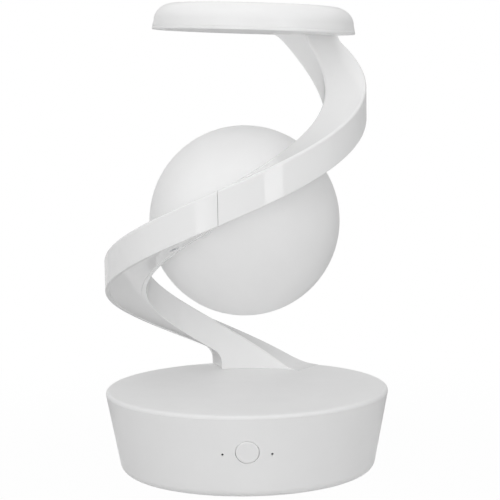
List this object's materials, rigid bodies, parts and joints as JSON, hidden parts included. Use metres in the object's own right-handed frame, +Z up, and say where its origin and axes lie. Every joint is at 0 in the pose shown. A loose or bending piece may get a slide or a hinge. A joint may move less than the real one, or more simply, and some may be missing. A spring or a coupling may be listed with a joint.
{
  "type": "spiral table lamp",
  "caption": "White table lamp: a matte moon globe held in a rising spiral arm between a round drum base with a push button and a round charging pad on top.",
  "frame": {"origin": "on the floor under the lamp, on the axis of the round base", "axes": "+Z up; the front with the push button faces -Y, the inlet faces +Y; +X is to the right seen from the front"},
  "size_m": [0.13, 0.13, 0.2136],
  "materials": {
    "body_white": "matte white moulding",
    "arm_white": "glossy white moulding",
    "head_white": "satin white moulding",
    "globe_white": "frosted white, lets light through",
    "foot_rubber": "soft matte",
    "steel": "zinc plated",
    "board_green": "green solder mask",
    "lamp_board_white": "white solder mask",
    "dark_plastic": "matte black moulding",
    "lead_black": "insulated lead",
    "indicator_clear": "clear",
    "led_yellow": "phosphor",
    "copper": "enamelled copper",
    "ferrite": "matte"
  },
  "bodies": {
    "lamp": {"base_shell": "body_white", "deck": "body_white", "bottom_cover": "body_white", "foot_pads": "foot_rubber", "cover_screws": "steel", "ballast_plate": "steel", "main_board": "board_green", "board_parts": "dark_plastic", "board_screws": "steel", "usb_inlet": "steel", "button_board": "board_green", "button_board_screws": "steel", "switch_body": "dark_plastic", "light_pipes": "dark_plastic", "indicator_leds": "indicator_clear", "lower_arm": "arm_white", "lower_strip": "arm_white", "foot_screws": "steel", "arm_splice": "dark_plastic", "splice_screws": "steel", "upper_arm": "arm_white", "upper_strip": "arm_white", "strip_screws": "steel", "tray_screws": "steel", "globe_lead": "lead_black", "head_lead": "lead_black", "moon_globe": "globe_white", "globe_plug": "arm_white", "stem_nipple": "steel", "stem_nut": "steel", "lamp_board": "lamp_board_white", "led_emitters": "led_yellow", "head_tray": "head_white", "head_cap": "head_white", "head_screws": "steel", "charging_coil": "copper", "ferrite_disc": "ferrite", "charger_board": "board_green"},
    "button": {"power_button": "arm_white", "switch_plunger": "dark_plastic"}
  },
  "joints": [
    {"name": "button_press", "type": "slide", "parent": "lamp", "child": "button", "axis": [0, 0.9824, 0.187], "range_m": [0, 0.0006], "stiffness_N_per_m": 400, "springref_m": -0.002}
  ]
}
